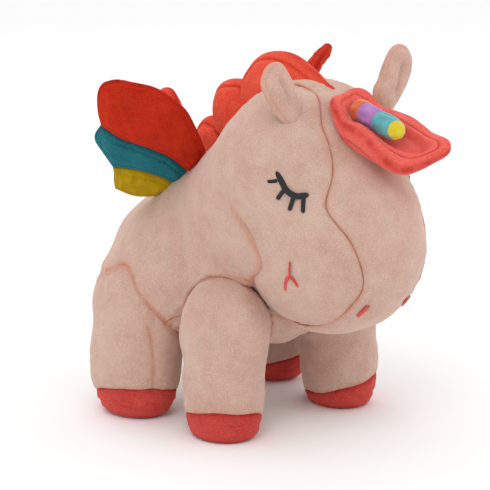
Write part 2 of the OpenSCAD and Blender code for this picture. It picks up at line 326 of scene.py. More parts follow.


# Each plush has its light and dark nap, its pile tips, and the deep tone, which is also painted shade down in
# a seam.
PEACH = plush("Peach plush", rgb(199, 167, 153), rgb(186, 149, 133), rgb(222, 200, 191), rgb(190, 116, 88))
CORAL = plush("Coral plush", rgb(228, 100, 90), rgb(214, 82, 72), rgb(238, 150, 142), rgb(172, 44, 36))
HOOF = plush("Hoof plush", rgb(196, 74, 66), rgb(182, 58, 52), rgb(214, 114, 108), rgb(150, 34, 28))
MANE_PLUSH = plush("Mane plush", rgb(226, 82, 58), rgb(208, 62, 40), rgb(236, 132, 116), rgb(172, 34, 20))
ORANGE = plush("Orange plush", rgb(188, 44, 22), rgb(172, 34, 16), rgb(208, 84, 56), rgb(150, 24, 10),
               sheen=0.3)
TEAL = plush("Teal plush", rgb(34, 108, 118), rgb(24, 94, 106), rgb(80, 146, 154), rgb(14, 66, 78),
             sheen=0.3)
YELLOW = plush("Yellow plush", rgb(176, 146, 12), rgb(160, 128, 6), rgb(200, 176, 60), rgb(128, 96, 2),
               sheen=0.3)


def printed(name, colour, pale):
    """Thin printed knit: fine loops in a bump, a little worn towards a paler tone."""
    f = Finish(name)
    loops = f.noise(0.0009, 2, 0.6)
    wear_and_seam_shade = f.ramp(f.noise(0.006, 3, 0.6), 0.4, 0.7)
    f.shader.inputs["Sheen Weight"].default_value = 0.3
    return f.out(Base_Color=f.mix(wear_and_seam_shade * 0.5, colour, pale), Roughness=0.85,
                 Normal=f.bump(loops, 0.0003, 0.5))


HORN_BANDS = {   # start and end as shares of the horn's length, then material and slot
    "horn_root_band": (0.0, 0.2, printed("Horn orange", rgb(204, 92, 50), rgb(222, 130, 92)),
                       "horn_orange"),
    "horn_middle_band": (0.2, 0.52, printed("Horn lilac", rgb(158, 104, 172), rgb(184, 142, 194)),
                         "horn_lilac"),
    "horn_front_band": (0.52, 0.86, printed("Horn aqua", rgb(78, 156, 162), rgb(124, 182, 186)),
                        "horn_aqua"),
    "horn_tip": (0.86, 1.0, printed("Horn yellow", rgb(204, 184, 16), rgb(218, 204, 76)),
                 "horn_yellow"),
}


def thread(name, colour, pale, rough=0.5):
    """Embroidery thread: a smooth filament with a soft gloss and slight changes of tone."""
    f = Finish(name)
    tone = f.ramp(f.noise(0.0012, 2, 0.5), 0.35, 0.7)
    f.shader.inputs["Sheen Weight"].default_value = 0.2
    return f.out(Base_Color=f.mix(tone, colour, pale), Roughness=rough)


BLACK_THREAD = thread("Black thread", rgb(8, 8, 11), rgb(26, 26, 30), 0.6)
RED_THREAD = thread("Red thread", rgb(196, 44, 42), rgb(222, 84, 74))


def fibre():
    """White fibre fill: soft clumps with fine strands in the bump."""
    f = Finish("Fibre fill")
    clump = f.noise(0.009, 4, 0.65)
    strand = f.noise(0.0011, 3, 0.7)
    colour = f.mix(f.ramp(clump, 0.35, 0.7), rgb(226, 224, 220), rgb(250, 249, 246))
    f.shader.inputs["Sheen Weight"].default_value = 0.6
    return f.out(Base_Color=colour, Roughness=0.95, Normal=f.bump(clump * 0.6 + strand * 0.4, 0.0016, 0.8))


FILL = fibre()


def finish_piece(piece, material, slot, body, *nodes):
    """Material, body and the nodes that this piece stands for; the slot name is only printed."""
    piece.data.materials.append(material)
    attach(piece, body)
    if nodes:
        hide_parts(*nodes)
    print(f"{piece.name}: {len(piece.data.vertices)} points, {slot}, rides {body}")
    return piece


# %% [markdown]
# ## Panels on a star
# A panel is the part of a star between a pole and its seam. The grid runs from the pole out to the
# seam in every direction round it, so the last row lies exactly on the seam. Close to a seam the cloth
# is pulled in and its last millimetres turn inside, and short puckers run off the stitches.

# %% Panel functions
SKIN_T = 1.6 * MM       # plush with its backing
SEAM_PULL = 0.9 * MM    # depth of the groove at a seam
SEAM_REACH = 2.6 * MM   # how far from a seam the groove fades
TUCK = 0.5 * MM         # how deep the last cloth turns inside
SEAM_TONE = 1.1 * MM    # how far from a seam its painted shade fades
POLES = {
    "+X": np.array([[0, 1, 0], [0, 0, 1], [1, 0, 0]], float),
    "-X": np.array([[0, 1, 0], [0, 0, 1], [-1, 0, 0]], float),
    "+Z": np.array([[1, 0, 0], [0, 1, 0], [0, 0, 1]], float),
    "-Z": np.array([[1, 0, 0], [0, 1, 0], [0, 0, -1]], float),
}


def directions(pole, theta, phi):
    """Unit vectors at angle theta from a pole and turn phi round it."""
    side_a, side_b, axis = POLES[pole]
    t, f = theta[..., None], phi[..., None]
    return np.cos(t) * axis + np.sin(t) * (np.cos(f) * side_a + np.sin(f) * side_b)


def seam_angle(star, pole, phi, is_past, lo=0.02, hi=np.pi - 0.02, steps=40):
    """For each turn phi, the angle from the pole at which the star's surface passes a seam, by halving."""
    a, b = np.full_like(phi, lo), np.full_like(phi, hi)
    for _ in range(steps):
        mid = (a + b) / 2
        past = is_past(star.at(directions(pole, mid, phi)), phi)
        a, b = np.where(past, a, mid), np.where(past, mid, b)
    return (a + b) / 2


def seam_pull(dist, p, seed):
    """How far cloth is moved at a distance from its seam: a groove, the last bit turned in, and puckers."""
    groove = SEAM_PULL * np.exp(-dist / SEAM_REACH)
    turned_in = TUCK * (1 - smooth(dist, 0, 0.6 * MM))
    pucker = 0.55 * MM * np.exp(-dist / (6 * MM)) * lumps(p, 5 * MM, seed)
    return pucker * smooth(dist, 0, 1.5 * MM) - groove - turned_in


def crowded(n, power=1.35):
    """Steps from 0 to 1 that get closer towards 1, where the seam needs detail."""
    return 1 - (1 - np.linspace(0, 1, n)) ** power


def pole_panel(name, star, pole, seam, seed, rows, cols, shape=None, keep=None, lump=0.5 * MM,
               radius=None):
    """The part of a star from a pole to the seam angle, as a panel. The shape function gives the moves
    out at each point and how much of each point lies on another seam."""
    radius = radius or star.radius
    phi = np.linspace(0, 2 * np.pi, cols, endpoint=False)
    end = seam(phi)
    theta = end[None] * crowded(rows)[:, None]
    phi = np.broadcast_to(phi, theta.shape)
    d = directions(pole, theta, phi)
    r = radius(d)
    base = star.o + d * r[..., None]
    dist = (end[None] - theta) * r
    lift = seam_pull(dist, base, seed) + lump * lumps(base, 26 * MM, seed + 1)
    on_seam = np.exp(-dist / SEAM_TONE)
    if shape is not None:
        more, near = shape(base)
        lift, on_seam = lift + more, np.maximum(on_seam, near)
    p = base + d * lift[..., None]
    mask = None if keep is None else keep(base)
    faces = grid_faces(rows, cols, wrap_cols=True)
    return build(name, p, faces, mask, on_seam, flip=pole in ("-X", "-Z"))


def outside_all(*tests):
    """Keeps points that are not deeper than a margin inside any of the given stars."""
    def keep(p):
        ok = np.ones(p.shape[:-1], bool)
        for star, margin in tests:
            ok &= star.outside(p) > -margin
        return ok
    return keep


# %% [markdown]
# ## The head
# The head is three panels: a cheek on each side and a strip that runs from under the chin, over the
# nose and the forehead, to the back of the crown. The strip is wide at the forehead and narrow at
# the nose, and the two long seams beside it are what gives the muzzle its shape.

# %% Face seams


def strip_half_width(v):
    """Half width of the face strip at turn v about X (0 back, 90 up, 180 front): a base and two bells."""
    deg = np.degrees(v) % 360
    crown = 12 * (smooth(deg, 60, 90) - smooth(deg, 98, 124))
    return (26.5 + 11.5 * hump(deg, 176, 22) - 2.2 * hump(deg, 214, 9) - crown) * MM


def cheek_seam(pole):
    """The seam angle of a cheek: where the star's |x| falls to the strip's half width."""
    def seam(phi):
        return seam_angle(HEAD, pole, phi, lambda p, f: np.abs(p[..., 0]) < strip_half_width(f), hi=np.pi / 2)
    return seam


NECK_DEEP = 7 * MM
KEEP_HEAD = outside_all((TORSO, NECK_DEEP))


def crease(p, a, b, width, depth):
    """A dent along the line from a to b: depth times a bell of the distance to it."""
    a, b = np.array(a) * MM, np.array(b) * MM
    t = np.clip(((p - a) @ (b - a)) / ((b - a) @ (b - a)), 0, 1)
    dist = np.linalg.norm(p - (a + t[..., None] * (b - a)), axis=-1)
    return -depth * hump(dist, 0, width) * (0.35 + 0.65 * np.sin(np.pi * np.clip(t, 0.05, 0.95)))


def dimple(p, place, width, depth):
    """A round dent: depth times a bell of the distance to a place."""
    return -depth * hump(np.linalg.norm(p - np.array(place) * MM, axis=-1), 0, width)


def neck_line(p):
    """How far past the neck seam a point is, on the torso's side of it negative: both distances
    compared, with the seam carried further over the cheek higher up."""
    carried = 25 * MM * smooth(p[..., 2], 90 * MM, 118 * MM)
    return TORSO.outside(p) - HEAD.outside(p) - carried


def at_join(past, p, seed):
    """Cloth near a sewn join, by how far past it a point is: a groove, puckers, and the tuck beyond.
    Also gives the seam tone, the share of painted shade along the join."""
    pucker = 0.6 * MM * np.exp(-np.abs(past) / (7 * MM)) * lumps(p, 7 * MM, seed) * smooth(-past, 0, 2 * MM)
    return (pucker - 1.5 * MM * np.exp(-np.abs(past) / (1.8 * MM)) - 4 * MM * smooth(past, 0.3 * MM, 4 * MM),
            np.exp(-np.abs(past) / SEAM_TONE))


def head_shape(p):
    """Small dents of the face: folds beside the nose, and where the stitches pull in."""
    low = 1 - smooth(p[..., 2], 140 * MM, 155 * MM)
    lift = -1.3 * MM * np.exp(-np.abs(neck_line(p)) / (2 * MM)) * low
    for s in (RIGHT, LEFT):
        lift = lift + crease(p, [s * 20, -100, 118], [s * 12, -99, 134], 2.2 * MM, 0.9 * MM)
        lift = lift + crease(p, [s * 22, -101, 112], [s * 16, -104, 116], 1.8 * MM, 0.7 * MM)
        for place, width, depth in (([s * 17, -95, 90], 5, 1.4), ([s * 50, -62, 112], 6, 1.0),
                                    ([s * 51, -61, 163], 9, 0.8)):
            lift = lift + dimple(p, place, width * MM, depth * MM)
    return lift, low * np.exp(-np.abs(neck_line(p)) / SEAM_TONE)


# %% Cheeks and face strip
for side, s in SIDES.items():
    pole = "+X" if s > 0 else "-X"
    cheek = pole_panel(f"cheek_{side}_panel", HEAD, pole, cheek_seam(pole), seed=11 + s,
                       rows=110, cols=340, shape=head_shape, keep=KEEP_HEAD)
    finish_piece(thicken(cheek, SKIN_T), PEACH, "peach_plush", "head", f"cheek_{side}")


def strip_panel(name, rows, cols, seed):
    """The band of the head between both cheek seams, as a grid across and round."""
    v = np.linspace(0, 2 * np.pi, rows, endpoint=False)
    edge = seam_angle(HEAD, "+X", v, lambda p, f: np.abs(p[..., 0]) < strip_half_width(f), hi=np.pi / 2)
    across = np.linspace(-1, 1, cols)
    across = np.sign(across) * (1 - (1 - np.abs(across)) ** 1.3)
    theta = np.pi / 2 - across[None] * (np.pi / 2 - edge)[:, None]
    phi = np.broadcast_to(v[:, None], theta.shape)
    d = directions("+X", theta, phi)
    base = HEAD.at(d)
    dist = (1 - np.abs(across))[None] * (np.pi / 2 - edge)[:, None] * HEAD.radius(d)
    lift = seam_pull(dist, base, seed) + 0.5 * MM * lumps(base, 26 * MM, 12) + head_shape(base)[0]
    return build(name, HEAD.at(d, lift), grid_faces(rows, cols, wrap_rows=True), KEEP_HEAD(base),
                 np.exp(-dist / SEAM_TONE))


strip = strip_panel("face_strip_panel", rows=360, cols=110, seed=31)
finish_piece(thicken(strip, SKIN_T), PEACH, "peach_plush", "head", "face_strip")
brow_and_nose = strip_half_width(np.radians([176, 214]))
print("strip half width at the forehead and nose, mm:", (brow_and_nose / MM).round(1))

# %% [markdown]
# ## The torso
# Two side panels meet along the spine and the chest, and a belly panel closes them underneath.
# Where the head and the legs are sewn on, the cloth stops a little way inside them, and it dips
# towards each of those seams as the stitches pull it in.

# %% Torso panels
BELLY_Z = 80 * MM
BELLY_SLOPE = np.tan(np.radians(15))
PAST_SEAM = 6 * MM   # how far the cloth goes on past a leg's seam before it is cut off


def under_belly_seam(p):
    """True below the belly seam, a plane that falls towards the tail."""
    return p[..., 2] < BELLY_Z - BELLY_SLOPE * p[..., 1]


def meld(a, b, k):
    """Smooth minimum of two distances: min(a, b) less a rounded corner of width k."""
    h = np.maximum(k - np.abs(a - b), 0) / k
    return np.minimum(a, b) - h * h * k / 4


def run_into(star, others, steps=10):
    """The radius of a star run into its neighbours: along each ray, step until the smooth minimum of
    all distances is 0. Each neighbour comes with the width of its rounded corner."""
    def radius(d):
        r = star.radius(d)
        for _ in range(steps):
            p = star.o + d * r[..., None]
            f = star.outside(p)
            for other, width in others:
                f = meld(f, other.outside(p), width(p))
            r = r - f
        return r
    return radius


def neck_width(p):
    """The corner behind the cheeks is wide; at the chest there is a plain seam."""
    return lerp(3 * MM, 34 * MM, smooth(p[..., 2], 88 * MM, 116 * MM))


def hip_width(_):
    """The corner at the top of a leg is the same all round."""
    return 12 * MM


TORSO_RADIUS = run_into(TORSO, [(HEAD, neck_width)] + [(leg, hip_width) for leg in LEGS.values()])


def torso_seam(pole):
    """A side panel ends at the middle plane, or at the belly seam where that comes first."""
    def seam(phi):
        low = seam_angle(TORSO, pole, phi, lambda p, f: under_belly_seam(p), hi=np.pi / 2)
        return np.minimum(low, np.pi / 2)
    return seam


def join_shift(front, p):
    """How much further on to the leg a seam lies: none for a front leg; a rear leg's arch is high at
    the hip and drops steeply at the front of the leg."""
    if front:
        return 0.0
    y = p[..., 1]
    return 7 * MM - 8 * MM * hump(y, 67 * MM, 14 * MM) + 1.5 * MM * (1 - smooth(y, 34 * MM, 50 * MM))


def torso_shape(p):
    """Grooves and puckers at the legs and the neck; beyond each seam the cloth turns inside."""
    here = TORSO.outside(p)
    lift, near = 0.0, 0.0
    for (front, _), leg in LEGS.items():
        move, tone = at_join(here - leg.outside(p) - join_shift(front, p), p, 8)
        lift, near = lift + move, np.maximum(near, tone)
    past = neck_line(p)
    move, tone = at_join(past, p, 9)
    low = 1 - smooth(p[..., 2], 142 * MM, 156 * MM)
    move = lerp(-5 * MM * smooth(past, 0, 9 * MM), move, low)
    return lift + move, np.maximum(near, tone * low)


def keep_torso(p):
    """Torso cloth, less what is well past the seam of the head or a leg."""
    here = TORSO.outside(p)
    ok = neck_line(p) < 9 * MM
    for (front, _), leg in LEGS.items():
        ok &= here - leg.outside(p) - join_shift(front, p) < PAST_SEAM
    return ok


TORSO_LUMP = 0.7 * MM
for side, s in SIDES.items():
    pole = "+X" if s > 0 else "-X"
    panel = pole_panel(f"torso_{side}_panel", TORSO, pole, torso_seam(pole), seed=41 + s,
                       rows=130, cols=380, shape=torso_shape, keep=keep_torso, lump=TORSO_LUMP,
                       radius=TORSO_RADIUS)
    thicken(panel, SKIN_T).data.materials.append(PEACH)
    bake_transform(panel)
    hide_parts(f"torso_skin_{side}")

belly = pole_panel("belly_lower_panel", TORSO, "-Z",
                   lambda phi: seam_angle(TORSO, "-Z", phi, lambda p, f: ~under_belly_seam(p)),
                   seed=47, rows=110, cols=300, shape=torso_shape, keep=keep_torso,
                   lump=TORSO_LUMP, radius=TORSO_RADIUS)
finish_piece(thicken(belly, SKIN_T), PEACH, "peach_plush", "torso", "belly_panel")

# %% [markdown]
# ## Legs and hooves
# Each leg is a tube of peach plush sewn on at the hip, and a cap of coral plush for the hoof. The
# seam between them is tilted, high at the front and outside. A leg could be modelled as a cylinder,
# but a stuffed one swells at the thigh, so it is a star too, run into the torso where they meet.

# %% Leg panels
HOOF_H = 13 * MM
HOOF_TILT = np.tan(np.radians(11.2))


def hoof_plane(front, s):
    """Height of a hoof's seam above the floor at a point: rises towards the front and outside."""
    foot = np.array([s * 51, -5] if front else [s * 59, 72]) * MM
    return lambda p: HOOF_H + HOOF_TILT * (s * (p[..., 0] - foot[0]) - (p[..., 1] - foot[1]))


def off_hoof_seam(front, s, p):
    """0 on the seam between a leg and its hoof, 1 from 4 mm away, so both sides meet edge to edge."""
    return smooth(np.abs(p[..., 2] - hoof_plane(front, s)(p)), 0, 4 * MM)


def leg_shape(front, s):
    """The arch seam at the torso, slack folds above the hoof, and the slack under the arch. A rear
    leg has one more seam down its front."""
    def shape(p):
        lift, near = at_join(LEGS[front, s].outside(p) - TORSO.outside(p) + join_shift(front, p), p, 8)
        low = 1 - smooth(p[..., 2], 20 * MM, 60 * MM)
        lift = lift + 0.5 * MM * low * off_hoof_seam(front, s, p) * lumps(p * [1, 1, 2.5], 22 * MM, 5)
        if front:
            return lift + crease(p, [s * 61, -9, 88], [s * 47, -27, 83], 2.2 * MM, 2.2 * MM), near
        seam = (np.abs(p[..., 0] - s * 70 * MM) + 9 * MM * (p[..., 1] > 62 * MM)
                + 9 * MM * smooth(p[..., 2], 62 * MM, 70 * MM))
        return lift - 1.1 * MM * np.exp(-seam / (1.8 * MM)), np.maximum(near, 0.8 * np.exp(-seam / SEAM_TONE))
    return shape


def hoof_shape(front, s):
    """Short wrinkles round the hoof, none on the sole, and painted shade along the sole seam at its rim."""
    def shape(p):
        sole = hump(p[..., 2], 1.2 * MM, 1.3 * MM)
        loose = smooth(p[..., 2], 1 * MM, 8 * MM) * off_hoof_seam(front, s, p)
        return 0.9 * MM * loose * lumps(p * [1, 1, 2], 9 * MM, 9), 0.7 * sole
    return shape


def keep_leg(front, s):
    """Leg cloth, less what is well past its seam with the torso."""
    leg = LEGS[front, s]
    return lambda p: leg.outside(p) - TORSO.outside(p) + join_shift(front, p) < PAST_SEAM


def leg_words(front, s):
    """The two words for a leg in the names of its pieces, such as front and right."""
    return "front" if front else "rear", "right" if s < 0 else "left"


for (front, s), star in LEGS.items():
    end, side = leg_words(front, s)
    plane = hoof_plane(front, s)
    skin = pole_panel(f"{end}_leg_{side}_panel", star, "+Z",
                      lambda phi: seam_angle(star, "+Z", phi, lambda p, f: p[..., 2] < plane(p)),
                      seed=61 + s + 4 * front, rows=150, cols=240, shape=leg_shape(front, s),
                      keep=keep_leg(front, s), radius=run_into(star, [(TORSO, hip_width)]))
    finish_piece(thicken(skin, SKIN_T), PEACH, "peach_plush", f"{end}_leg_{side}", f"{end}_leg_skin_{side}")
    cap = pole_panel(f"{end}_hoof_{side}_cap", star, "-Z",
                     lambda phi: seam_angle(star, "-Z", phi, lambda p, f: p[..., 2] > plane(p),
                                            hi=np.pi / 2),
                     seed=71 + s + 4 * front, rows=70, cols=200, shape=hoof_shape(front, s), lump=0)
    finish_piece(thicken(cap, SKIN_T), HOOF, "coral_plush", f"{end}_leg_{side}", f"{end}_hoof_{side}")

# %% [markdown]
# ## Fibre fill
# Under the panels is loose polyester fill. It is hidden, but it is a real piece of the toy, so each
# filled body gets a lumpy mass that stays just under its skin.

# %% Fill masses


def fill_mass(name, star, others, body, node, rows=70, cols=110):
    """The star moved in past the skin, with deep soft lumps, closed. It keeps a room clear of others."""
    theta, phi = np.meshgrid(np.linspace(0, np.pi, rows), np.linspace(0, 2 * np.pi, cols, endpoint=False),
                             indexing="ij")
    d = directions("+Z", theta, phi)
    base = star.at(d)
    depth = 5.2 * MM + 1.4 * MM * lumps(base, 16 * MM, 77)
    for other, room in others:
        depth = depth + np.maximum(0, room - other.outside(base)) * 0.9
    p = star.at(d, -depth)
    piece = build(name, p, grid_faces(rows, cols, wrap_cols=True))
    finish_piece(piece, FILL, "fibre_fill", body, node)


fill_mass("head_fibre", HEAD, [], "head", "head_filling")
fill_mass("torso_fibre", TORSO, [(star, 4 * MM) for star in (HEAD, *LEGS.values())], "torso",
          "torso_filling")
for (front, s), star in LEGS.items():
    end, side = leg_words(front, s)
    fill_mass(f"{end}_leg_{side}_fibre", star, [], f"{end}_leg_{side}", f"{end}_leg_filling_{side}", 50, 70)

# %% [markdown]
# ## Pillows
# Ears, mane lobes, tail and forelock are pillows: two pieces of plush sewn round the edge and
# filled. Seen from the front a pillow has an outline, and it is thickest in the middle. Blender could
# also inflate two flat sheets with a cloth simulation. A formula is used here instead, because it puts
# the stitch line and its puckers exactly where the real ones lie.

# %% Pillow function


def pillow(name, outline, thick, place, rows=72, cols=200, bulge=0.55, groove=(1.6, 1.1, 1.0),
           shape=None, seed=1, tint=0.8):
    """A closed pillow: from the middle of one face out to the seam and back over the other face.
    Its height is thick * (1 - r^2)^bulge. The groove is a stitch line in mm from the edge, with its
    width and depth in mm; puckers run in from it."""
    t = np.linspace(-1, 1, rows)
    ring = np.linspace(0, 2 * np.pi, cols, endpoint=False)
    r = 1 - np.abs(t) ** 1.7
    a, b = outline(ring)
    middle = np.array([a.mean(), b.mean()])
    x = middle[0] + r[:, None] * (a - middle[0])[None]
    y = middle[1] + r[:, None] * (b - middle[1])[None]
    side = np.broadcast_to(np.sign(t)[:, None], x.shape)
    edge = (1 - r)[:, None] * np.hypot(a - middle[0], b - middle[1])[None]
    at, width, depth = (v * MM for v in groove)
    z = thick * (1 - r**2)[:, None] ** bulge
    z = z - depth * hump(edge, at, width) * smooth(z, 0, 3 * MM)
    pucker = lumps(np.stack([x, y, side * 0.02], -1), 9 * MM, seed) * np.exp(-edge / (6 * MM))
    pucker = pucker * smooth(edge, 0, 3 * MM)
    soft = lumps(np.stack([x, y, side * 0.03], -1), 22 * MM, seed + 1) * smooth(edge, 0, 8 * MM)
    z = np.maximum(z + 0.45 * MM * pucker + 0.7 * MM * soft, 0.1 * MM * (1 - np.abs(np.sign(t)))[:, None])
    local = np.stack([x, y, side * z], -1)
    if shape is not None:
        local = shape(local, side, edge)
    # Painted shade along the edge seam and the stitch line, weakened by tint.
    tone = np.maximum(np.exp(-edge / (0.8 * MM)), hump(edge, at, 0.7 * MM))
    return build(name, place(local), grid_faces(rows, cols, wrap_cols=True), seam=tone * tint)


def cubic(p0, p1, p2, p3, t):
    """The Catmull-Rom cubic from p1 to p2 at share t, with p0 and p3 as the points beyond them."""
    return 0.5 * (2 * p1 + (p2 - p0) * t + (2 * p0 - 5 * p1 + 4 * p2 - p3) * t**2
                  + (3 * p1 - p0 - 3 * p2 + p3) * t**3)


def outline_from(points):
    """A closed smooth outline through a few points in mm, as a function of the turn round it."""
    q = np.array(points, float) * MM
    n = len(q)

    def at(ring):
        s = ring / (2 * np.pi) * n
        i = np.floor(s).astype(int) % n
        t = (s - np.floor(s))[:, None]
        c = cubic(q[i - 1], q[i], q[(i + 1) % n], q[(i + 2) % n], t)
        return c[:, 0], c[:, 1]
    return at


def on_plane(centre, across, up):
    """Places local x along across, y along up and z along their cross product."""
    across, up = unit(np.array(across, float)), unit(np.array(up, float))
    out = np.cross(across, up)
    c = np.array(centre, float) * MM
    return lambda p: c + p[..., :1] * across + p[..., 1:2] * up + p[..., 2:3] * out


# %% Ears
EAR_OUTLINE = [(-1, -11), (-6, -4), (-9.5, 6), (-11.5, 17), (-9.5, 27), (-1, 32), (7.5, 28.5), (10.5, 18),
               (10.5, 9), (12, 2), (9, -4), (3, -9)]
EAR_PLACE = {RIGHT: ([-40, -49, 206], 27, 1.0), LEFT: ([45, -49, 205], 24, 1.12)}   # root, lean, size


def folded(p, side, _):
    """A pinch down the middle of the ear's front, where one stitch draws the two layers together."""
    along = smooth(p[..., 1], 0, 8 * MM) * (1 - smooth(p[..., 1], 20 * MM, 27 * MM))
    line = hump(p[..., 0], 0, 2 * MM) * along
    out = p.copy()
    out[..., 2] -= side * 2.2 * MM * line
    return out


for side, s in SIDES.items():
    root, lean, size = EAR_PLACE[s]
    turn = np.radians(lean)
    across, up = [s * np.cos(turn), 0, -np.sin(turn)], [s * np.sin(turn), 0, np.cos(turn)]
    ear = pillow(f"ear_{side}_pad", outline_from([(-x * size, y * size) for x, y in EAR_OUTLINE]), 6.4 * MM,
                 on_plane(root, across, up), shape=folded, seed=5, groove=(1.8, 1.2, 0.5), tint=0.35)
    finish_piece(ear, PEACH, "peach_plush", f"ear_{side}_body", f"ear_{side}")

# %% Mane lobes
MANE = {   # body, centre, outline towards the tail and up, half thickness
    "mane_crown_lobe": ("head", [0, 0, 208], [(-50, 3), (-38, 12), (-19, 23), (-4, 26.5), (12, 24), (24, 15),
                                              (31, 3), (30, -12), (10, -22), (-26, -14)], 14),
    "mane_neck_lobe": ("head", [0, 40, 190], [(-16, 22), (-2, 24), (9, 21), (15, 12), (17, 0), (10, -16),
                                              (-14, -18), (-24, 4)], 13),
    "mane_wither_lobe": ("torso", [0, 58, 174], [(-8, 12), (4, 14), (12, 9), (15, 1), (10, -13), (-6, -16),
                                                 (-18, -6), (-14, 8)], 12),
}


def sagged(p, side, edge):
    """Long folds that run along the crest, deeper towards the middle of a lobe."""
    out = p.copy()
    fold = np.sin(edge / (3.1 * MM) + 1.5 * lumps(p * [1, 1, 0], 30 * MM, 6))
    where = smooth(edge, 3 * MM, 7 * MM) * (1 - smooth(edge, 14 * MM, 22 * MM))
    out[..., 2] += side * 0.5 * MM * fold * where
    return out


for name, (body, centre, outline, half) in MANE.items():
    lobe = pillow(name + "_pad", outline_from(outline), half * MM, on_plane(centre, [0, 1, 0], [0, 0, 1]),
                  bulge=0.5, groove=(4.6, 1.3, 1.7), shape=sagged, seed=21 + len(name))
    finish_piece(lobe, MANE_PLUSH, "coral_plush", body, name)

# %% Tail
TAIL_OUTLINE = [(-12, 0), (-15, 18), (-15, 38), (-12, 56), (-3, 67), (7, 66), (13, 52), (12, 34), (9, 16),
                (6, -2), (0, -12), (-8, -10)]
tail = pillow("tail_pad", outline_from(TAIL_OUTLINE), 12 * MM,
              on_plane([0, 108, 134], [0, -1, 0], [0, 0, 1]), bulge=0.5, groove=(3, 1.2, 1.2), seed=33)
finish_piece(tail, MANE_PLUSH, "coral_plush", "tail_body", "tail")

# %% [markdown]
# ## The forelock and the horn
# The forelock is a leaf-shaped pillow whose long edges are drawn up, so it curls into a scoop with a
# thick rim, and the horn lies in its hollow. Here the flat pillow is rolled on to a cylinder that opens
# out towards the tip, and it is turned about its length, because the scoop tips to the toy's right.

# %% Forelock
LOCK_OUTLINE = [(0, -9), (-12, -8), (-22, -2), (-26, 8), (-27, 22), (-25, 36), (-19, 48), (-9, 59),
                (1, 67), (9, 65), (15, 57), (20, 44), (24, 30), (25, 14), (22, 2), (12, -7)]
LOCK_BASE, LOCK_TIP = np.array([0, -60, 200.0]), np.array([16, -123, 181.0])
LOCK_HOLLOW = 5.5 * MM
LOCK_ALONG = unit(LOCK_TIP - LOCK_BASE)
LOCK_ACROSS = unit(np.cross([0, 0, 1.0], LOCK_ALONG))


def scooped(p, side, edge):
    """Hollows the upper face inside the rim, and rolls the flat pillow on to a cylinder of radius R,
    where x becomes the angle x / R; then turns it about its length, and curls up both ends."""
    x, y, z = p[..., 0], p[..., 1], p[..., 2]
    radius = lerp(27 * MM, 48 * MM, smooth(y, 30 * MM, 68 * MM))
    angle = x / radius
    z = z - LOCK_HOLLOW * smooth(edge, 8 * MM, 17 * MM) * (side > 0)
    across, up = (radius - z) * np.sin(angle), radius - (radius - z) * np.cos(angle)
    turn = np.radians(lerp(10, 36, smooth(y, 14 * MM, 58 * MM)))
    across, up = across * np.cos(turn) - up * np.sin(turn), across * np.sin(turn) + up * np.cos(turn)
    up = up - 6 * MM + 15 * MM * (1 - smooth(y, -9 * MM, 12 * MM)) + 8 * MM * smooth(y, 48 * MM, 70 * MM)
    return np.stack([across, y, -up], -1)


forelock = pillow("forelock_pad", outline_from(LOCK_OUTLINE), 9 * MM,
                  on_plane(LOCK_BASE, LOCK_ACROSS, LOCK_ALONG), rows=110, cols=280, bulge=0.4,
                  groove=(6.0, 1.4, 0.5), shape=scooped, seed=51)
finish_piece(forelock, CORAL, "coral_plush", "forelock_body", "forelock")

# %% Horn
HORN_ROOT, HORN_DIP = np.array([0, -67, 205]) * MM, np.radians(16)
HORN_L, HORN_R = 38 * MM, 6.75 * MM
HORN_AXIS = np.array([0, -np.cos(HORN_DIP), -np.sin(HORN_DIP)])
HORN_UP = np.array([0, -np.sin(HORN_DIP), np.cos(HORN_DIP)])


def horn_band(name, z0, z1, rows=26, cols=90):
    """A ring of the horn, closed at both ends. The radius falls off to a dome at the tip; the joins
    between the colours lie on slanted cuts, and the knit is puckered along them."""
    phi = np.linspace(0, 2 * np.pi, cols, endpoint=False)[None]
    t = np.linspace(0, 1, rows)[:, None]
    slant = 0.055 * np.sin(phi + 2.2)
    low = z0 + slant * (z0 > 0)
    high = z1 + slant * (z1 < 1)
    z = low + (high - low) * t
    dome = np.sqrt(np.clip(1 - np.clip((z - 0.76) / 0.24, 0, 1) ** 2, 1e-6, 1))
    bulge = 0.5 * MM * np.sin(np.pi * t) ** 0.5
    ripple = 0.35 * MM * np.sin(7 * phi + 9 * z) * np.sin(np.pi * t)
    r = (HORN_R * (1 - 0.14 * z) + bulge + ripple) * dome
    flat = np.array([1.0, 0, 0])
    ring = np.cos(phi)[..., None] * flat + np.sin(phi)[..., None] * HORN_UP
    p = HORN_ROOT + HORN_AXIS * (z * HORN_L)[..., None] + ring * r[..., None]
    ends = [np.broadcast_to(q.mean(0), q.shape)[None] for q in (p[0], p[-1])]
    p = np.concatenate([ends[0], p, ends[1]])
    return build(name, p, grid_faces(rows + 2, cols, wrap_cols=True))


for name, (z0, z1, material, slot) in HORN_BANDS.items():
    band = horn_band(name + "_cloth", z0, z1)
    finish_piece(band, material, slot, "forelock_body", name)

# %% [markdown]
# ## Wings
# Each wing is two layers with a little fill, sewn round the edge and along the two colour seams. So it
# is thin at every seam and puffed between them. One panel is a grid between two edge curves, which
# neighbours share, so that the colours meet without a gap.

# %% Wing panels
WING_FRONT = np.array([-25.0, 37, 168])
WING_REAR = np.array([-33.0, 64, 146])
WING_TIP = np.array([-104.0, 39, 223])
LEFT_RAISE = np.radians(9)
WING_U = unit(WING_REAR - WING_FRONT)
WING_N = unit(np.cross(WING_REAR - WING_FRONT, WING_TIP - WING_FRONT))
WING_V = np.cross(WING_N, WING_U)


def wing_place(s):
    """From wing coordinates (along the root, out, normal) to the frame; the left wing is mirrored."""
    side = np.array([-s, 1, 1])
    lift = LEFT_RAISE if s == LEFT else 0.0
    v = WING_V * np.cos(lift) + WING_N * np.sin(lift)
    n = WING_N * np.cos(lift) - WING_V * np.sin(lift)
    return lambda p: (WING_FRONT * MM + p[..., :1] * WING_U + p[..., 1:2] * v + p[..., 2:3] * n) * side


